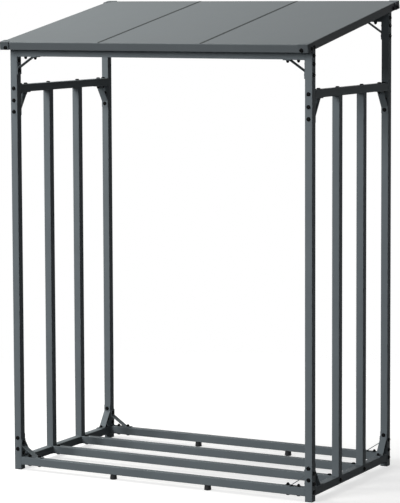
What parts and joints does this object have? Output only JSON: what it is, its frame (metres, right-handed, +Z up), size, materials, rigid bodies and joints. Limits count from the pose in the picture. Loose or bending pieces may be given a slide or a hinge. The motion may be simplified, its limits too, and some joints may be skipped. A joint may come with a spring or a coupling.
{
  "type": "log store",
  "caption": "Open steel log store: square-tube frame with slatted sides, corner brackets and a sloping roof of folded sheet panels.",
  "frame": {"origin": "on the ground in the middle of the plan", "axes": "+X to the right along the open front, +Y from the low front to the high rear, +Z up"},
  "size_m": [1.3256, 0.8534, 1.8468],
  "materials": {
    "frame_steel": "anthracite powder coat, satin, on square steel tube",
    "roof_sheet": "anthracite powder coat, smooth satin, on folded steel sheet",
    "bracket_steel": "anthracite powder coat, satin, on bent flat steel",
    "cap_plastic": "moulded dark grey plastic, fine grain",
    "foot_plastic": "moulded black plastic, fine grain",
    "bolt_steel": "black zinc plate, on the bolts and nuts"
  },
  "bodies": {
    "root": {"front_beam_feet": "foot_plastic", "front_bottom_beam": "frame_steel", "front_bottom_beam_left_bracket": "bracket_steel", "front_bottom_beam_right_bracket": "bracket_steel", "front_floor_bearer": "frame_steel", "front_left_post": "frame_steel", "front_left_roof_cap": "cap_plastic", "front_right_post": "frame_steel", "front_right_roof_cap": "cap_plastic", "front_top_beam": "frame_steel", "front_top_beam_left_bracket": "bracket_steel", "front_top_beam_right_bracket": "bracket_steel", "left_bottom_rail": "frame_steel", "left_bottom_rail_front_bracket": "bracket_steel", "left_bottom_rail_rear_bracket": "bracket_steel", "left_front_slat": "frame_steel", "left_rafter": "frame_steel", "left_rear_slat": "frame_steel", "left_roof_panel": "roof_sheet", "left_top_rail": "frame_steel", "left_top_rail_front_bracket": "bracket_steel", "left_top_rail_rear_bracket": "bracket_steel", "middle_roof_panel": "roof_sheet", "rear_beam_feet": "foot_plastic", "rear_bottom_beam": "frame_steel", "rear_bottom_beam_left_bracket": "bracket_steel", "rear_bottom_beam_right_bracket": "bracket_steel", "rear_floor_bearer": "frame_steel", "rear_left_post": "frame_steel", "rear_left_roof_cap": "cap_plastic", "rear_right_post": "frame_steel", "rear_right_roof_cap": "cap_plastic", "rear_top_beam": "frame_steel", "rear_top_beam_left_bracket": "bracket_steel", "rear_top_beam_right_bracket": "bracket_steel", "right_bottom_rail": "frame_steel", "right_bottom_rail_front_bracket": "bracket_steel", "right_bottom_rail_rear_bracket": "bracket_steel", "right_front_slat": "frame_steel", "right_rafter": "frame_steel", "right_rear_slat": "frame_steel", "right_roof_panel": "roof_sheet", "right_top_rail": "frame_steel", "right_top_rail_front_bracket": "bracket_steel", "right_top_rail_rear_bracket": "bracket_steel"}
  },
  "joints": []
}
